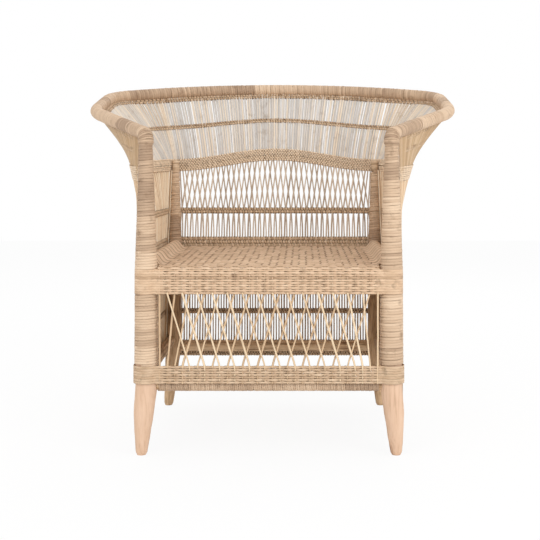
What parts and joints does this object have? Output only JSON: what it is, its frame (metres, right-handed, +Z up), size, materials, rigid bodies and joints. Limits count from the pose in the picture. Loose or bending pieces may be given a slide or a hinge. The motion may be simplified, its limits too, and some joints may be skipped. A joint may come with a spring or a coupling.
{
  "type": "cane armchair",
  "caption": "Low armchair on a pegged pole frame: upright and crossed canes, woven bands and seat, and a flared collar under a bound rim.",
  "frame": {"origin": "on the floor, under the middle of the chair's overall width and depth", "axes": "+X to the chair's width, the front faces -Y, +Z up"},
  "size_m": [0.91, 0.7016, 0.861],
  "materials": {
    "post_wood": "bare carved wood, smooth",
    "dark_wood": "bare knotty pole, matt",
    "nail_steel": "plain wire",
    "wrap_cane": "split cane, satin",
    "seat_cane": "woven cane, matt",
    "band_cane": "woven cane, matt",
    "pale_cane": "peeled cane, satin"
  },
  "bodies": {
    "root": {"front_left_post": "post_wood", "front_right_post": "post_wood", "rear_left_post": "dark_wood", "rear_right_post": "dark_wood", "rear_bottom_rail": "dark_wood", "left_bottom_rail": "dark_wood", "right_bottom_rail": "dark_wood", "front_bottom_rail": "dark_wood", "front_seat_rail": "dark_wood", "rear_seat_rail": "dark_wood", "left_seat_rail": "dark_wood", "right_seat_rail": "dark_wood", "rim_pole": "dark_wood", "frame_nails": "nail_steel", "front_left_wrap": "wrap_cane", "front_right_wrap": "wrap_cane", "rear_left_wrap": "wrap_cane", "rear_right_wrap": "wrap_cane", "rim_wrap": "wrap_cane", "front_rail_wrap": "wrap_cane", "left_rim_binding": "wrap_cane", "right_rim_binding": "wrap_cane", "seat_weave": "seat_cane", "front_lower_band": "band_cane", "bottom_band": "band_cane", "low_thin_band": "band_cane", "seat_band": "band_cane", "thin_band": "band_cane", "wide_band": "band_cane", "mid_collar_band": "band_cane", "rim_band": "band_cane", "front_lattice_rear_canes": "pale_cane", "front_lattice_front_canes": "pale_cane", "right_side_canes": "pale_cane", "left_side_canes": "pale_cane", "back_outer_canes": "pale_cane", "back_inner_canes": "pale_cane", "right_collar_canes": "pale_cane", "left_collar_canes": "pale_cane", "back_collar_canes": "pale_cane"}
  },
  "joints": []
}
